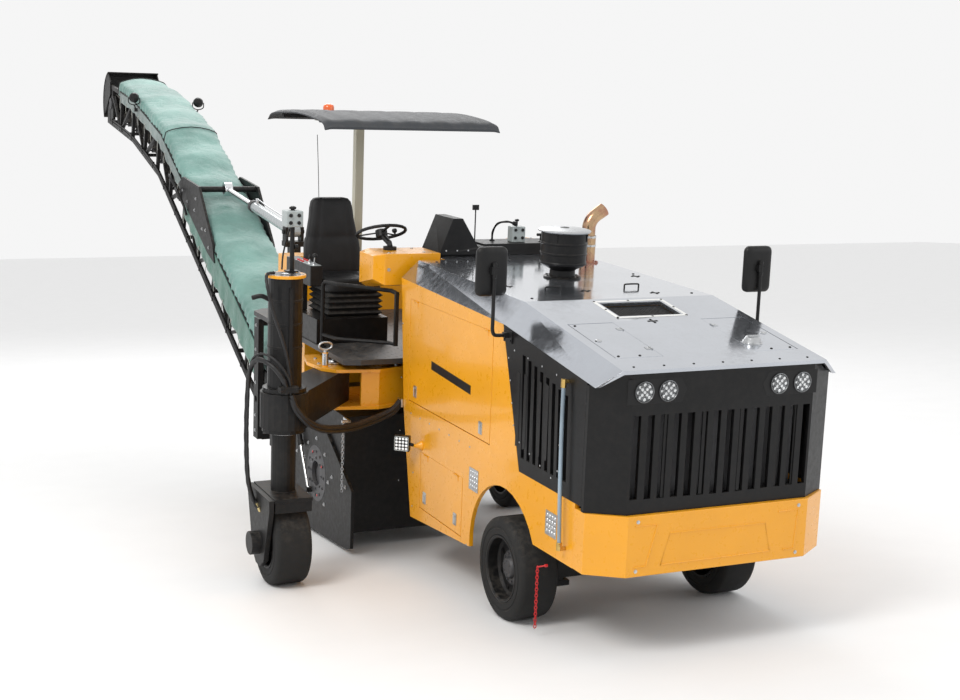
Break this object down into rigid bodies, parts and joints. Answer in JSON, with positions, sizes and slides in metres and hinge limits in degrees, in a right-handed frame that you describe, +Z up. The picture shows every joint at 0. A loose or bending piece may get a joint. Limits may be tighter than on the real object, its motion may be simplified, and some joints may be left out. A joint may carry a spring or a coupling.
{
  "type": "cold planer milling machine",
  "caption": "Road milling machine on four wheels: a drum under the operator's platform cuts the surface and a slewing conveyor at the rear lifts the millings into a truck.",
  "frame": {"origin": "centre of the bounding box's footprint, on the ground under the machine", "axes": "+X to the operator's left as seen from the front, +Y from the front bumper to the conveyor's discharge end, +Z up"},
  "size_m": [3.128, 12.6185, 4.2893],
  "materials": {
    "yellow": "gloss",
    "black": "satin",
    "hood_grey": "gloss",
    "tyre_rubber": "matte",
    "rubber": "matte",
    "dark_steel": "satin",
    "bright_steel": "gloss",
    "copper": "satin",
    "tarp": "matte",
    "canopy_grey": "matte",
    "deck": "matte",
    "vinyl": "satin",
    "plastic": "matte"
  },
  "bodies": {
    "chassis": {"chassis_frame": "black", "engine_block": "dark_steel", "front_axle": "black", "side_panel_right": "yellow", "side_panel_left": "yellow", "side_grille_right": "black", "side_grille_left": "black", "front_bumper": "yellow", "radiator_grille": "black", "engine_hood": "hood_grey", "rear_cowl": "yellow", "steering_console": "yellow", "air_cleaner": "black", "exhaust_pipe": "copper", "mirror_right": "plastic", "mirror_left": "plastic", "platform_deck": "deck", "rear_cabinet": "yellow", "left_tank": "yellow", "rear_box_right": "yellow", "seat_plinth": "black", "seat_bellows": "rubber", "seat": "vinyl", "armrest_console": "plastic", "steering_wheel": "plastic", "instrument_console": "plastic", "canopy_post": "black", "canopy_roof": "canopy_grey", "handrail_right": "black", "handrail_left": "black", "drum_housing": "black", "swing_bracket": "yellow", "leg_sleeve_left": "black", "leg_fork_left": "black"},
    "knuckle_right": {"steering_knuckle_right": "dark_steel"},
    "knuckle_left": {"steering_knuckle_left": "dark_steel"},
    "wheel_front_right": {"front_wheel_right": "tyre_rubber"},
    "wheel_front_left": {"front_wheel_left": "tyre_rubber"},
    "wheel_rear_right": {"rear_wheel_right": "tyre_rubber"},
    "wheel_rear_left": {"rear_wheel_left": "tyre_rubber"},
    "swing_arm": {"swing_arm": "black"},
    "leg_right": {"leg_sleeve_right": "black", "leg_fork_right": "black"},
    "drum": {"milling_drum": "dark_steel"},
    "edge_plate": {"edge_plate_right": "black"},
    "engine_door_right": {"engine_door_right": "yellow"},
    "engine_door_left": {"engine_door_left": "yellow"},
    "service_door_right": {"service_door_right": "yellow"},
    "service_door_left": {"service_door_left": "yellow"},
    "hood_lid_right": {"hood_lid_right": "hood_grey"},
    "hood_lid_left": {"hood_lid_left": "hood_grey"},
    "slew_frame": {"conveyor_slew_frame": "black"},
    "conveyor": {"conveyor_frame": "black", "conveyor_belt": "rubber", "conveyor_cover": "tarp", "conveyor_end_guard": "black"},
    "lift_barrel": {"lift_cylinder_barrel": "bright_steel"},
    "lift_rod": {"lift_cylinder_rod": "bright_steel"}
  },
  "joints": [
    {"name": "steer_right", "type": "hinge", "parent": "chassis", "child": "knuckle_right", "pos_m": [-0.069, -5.082, 0.33], "axis": [0, -0.0958, 0.9954], "range_deg": [-28, 28]},
    {"name": "front_wheel_spin_right", "type": "hinge", "parent": "knuckle_right", "child": "wheel_front_right", "pos_m": [-0.24, -5.082, 0.33], "axis": [1, 0, 0], "continuous": true},
    {"name": "steer_left", "type": "hinge", "parent": "chassis", "child": "knuckle_left", "pos_m": [1.081, -5.082, 0.33], "axis": [0, -0.0958, 0.9954], "range_deg": [-28, 28]},
    {"name": "front_wheel_spin_left", "type": "hinge", "parent": "knuckle_left", "child": "wheel_front_left", "pos_m": [1.252, -5.082, 0.33], "axis": [1, 0, 0], "continuous": true},
    {"name": "rear_wheel_spin_right", "type": "hinge", "parent": "leg_right", "child": "wheel_rear_right", "pos_m": [-1.324, -3.57266, 0.305], "axis": [1, 0, 0], "continuous": true},
    {"name": "rear_wheel_spin_left", "type": "hinge", "parent": "chassis", "child": "wheel_rear_left", "pos_m": [1.306, -1.86479, 0.305], "axis": [1, 0, 0], "continuous": true},
    {"name": "swing_arm_turn", "type": "hinge", "parent": "chassis", "child": "swing_arm", "pos_m": [-0.714, -2.96593, 1.30732], "axis": [0, -0.0958, 0.9954], "range_deg": [-115, 0]},
    {"name": "leg_counter_turn", "type": "hinge", "parent": "swing_arm", "child": "leg_right", "pos_m": [-1.324, -3.66271, 1.24022], "axis": [0, -0.0958, 0.9954], "range_deg": [0, 115]},
    {"name": "drum_spin", "type": "hinge", "parent": "chassis", "child": "drum", "pos_m": [0.506, -2.26396, 0.48581], "axis": [1, 0, 0], "continuous": true},
    {"name": "edge_plate_lift", "type": "slide", "parent": "chassis", "child": "edge_plate", "axis": [0, -0.0958, 0.9954], "range_m": [0, 0.25]},
    {"name": "engine_door_turn_right", "type": "hinge", "parent": "chassis", "child": "engine_door_right", "pos_m": [-0.327, -4.2275, 1.88908], "axis": [0, 0.9954, 0.0958], "range_deg": [0, 80]},
    {"name": "service_door_turn_right", "type": "hinge", "parent": "chassis", "child": "service_door_right", "pos_m": [-0.327, -4.12542, 0.82898], "axis": [0, 0.9954, 0.0958], "range_deg": [0, 75]},
    {"name": "hood_lid_turn_right", "type": "hinge", "parent": "chassis", "child": "hood_lid_right", "pos_m": [0.186, -6.11342, 1.75599], "axis": [0, 0.9674, 0.2532], "range_deg": [0, 100]},
    {"name": "engine_door_turn_left", "type": "hinge", "parent": "chassis", "child": "engine_door_left", "pos_m": [1.339, -4.2275, 1.88908], "axis": [0, 0.9954, 0.0958], "range_deg": [-80, 0]},
    {"name": "service_door_turn_left", "type": "hinge", "parent": "chassis", "child": "service_door_left", "pos_m": [1.339, -4.12542, 0.82898], "axis": [0, 0.9954, 0.0958], "range_deg": [-75, 0]},
    {"name": "hood_lid_turn_left", "type": "hinge", "parent": "chassis", "child": "hood_lid_left", "pos_m": [0.826, -6.11342, 1.75599], "axis": [0, 0.9674, 0.2532], "range_deg": [-100, 0]},
    {"name": "conveyor_slew", "type": "hinge", "parent": "chassis", "child": "slew_frame", "pos_m": [-0.194, -0.52906, 1.03965], "axis": [0, -0.0958, 0.9954], "range_deg": [-35, 35]},
    {"name": "conveyor_lift", "type": "hinge", "parent": "slew_frame", "child": "conveyor", "pos_m": [-0.194, -0.50472, 0.8913], "axis": [1, 0, 0], "range_deg": [-7, 7]},
    {"name": "lift_barrel_turn", "type": "hinge", "parent": "slew_frame", "child": "lift_barrel", "pos_m": [-0.194, -0.45745, 2.38269], "axis": [1, 0, 0], "range_deg": [-9.02, 9.02]},
    {"name": "lift_rod_slide", "type": "slide", "parent": "lift_barrel", "child": "lift_rod", "axis": [0, 0.9832, 0.1823], "range_m": [-0.1881, 0.1881]}
  ],
  "couplings": [
    {"joint": "steer_left", "follows": "steer_right", "ratio": 1},
    {"joint": "leg_counter_turn", "follows": "swing_arm_turn", "ratio": -1},
    {"joint": "lift_barrel_turn", "follows": "conveyor_lift", "ratio": 1.1462},
    {"joint": "lift_rod_slide", "follows": "conveyor_lift", "m_per_rad": -1.4578}
  ]
}
